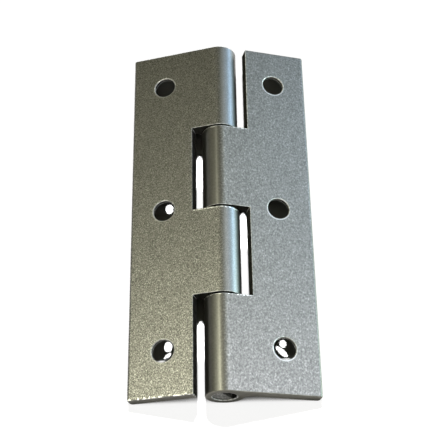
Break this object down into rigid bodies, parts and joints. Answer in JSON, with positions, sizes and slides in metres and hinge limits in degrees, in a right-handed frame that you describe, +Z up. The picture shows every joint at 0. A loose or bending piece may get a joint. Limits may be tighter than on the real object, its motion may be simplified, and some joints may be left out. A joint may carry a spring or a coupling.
{
  "type": "fixed-pin butt hinge",
  "caption": "Flat rectangular butt hinge of bare grey metal: paired leaves with interleaved knuckles turn on a fixed cropped pin, and drilled holes take countersunk screws.",
  "frame": {"origin": "on the surface that the hinge lies on, under the middle of the pin", "axes": "+Y along the pin towards the first knuckle, +X towards the right leaf, +Z up"},
  "size_m": [0.0474, 0.1, 0.0096],
  "materials": {
    "left_leaf": "tumbled, fine grain",
    "right_leaf": "tumbled, fine grain",
    "hinge_pin": "drawn, cropped ends"
  },
  "bodies": {
    "left_half": {"left_leaf": "left_leaf"},
    "right_half": {"right_leaf": "right_leaf", "hinge_pin": "hinge_pin"}
  },
  "joints": [
    {"name": "leaf_hinge", "type": "hinge", "parent": "left_half", "child": "right_half", "pos_m": [0, 0, 0.0048], "axis": [0, 1, 0], "range_deg": [-136, 154]}
  ]
}
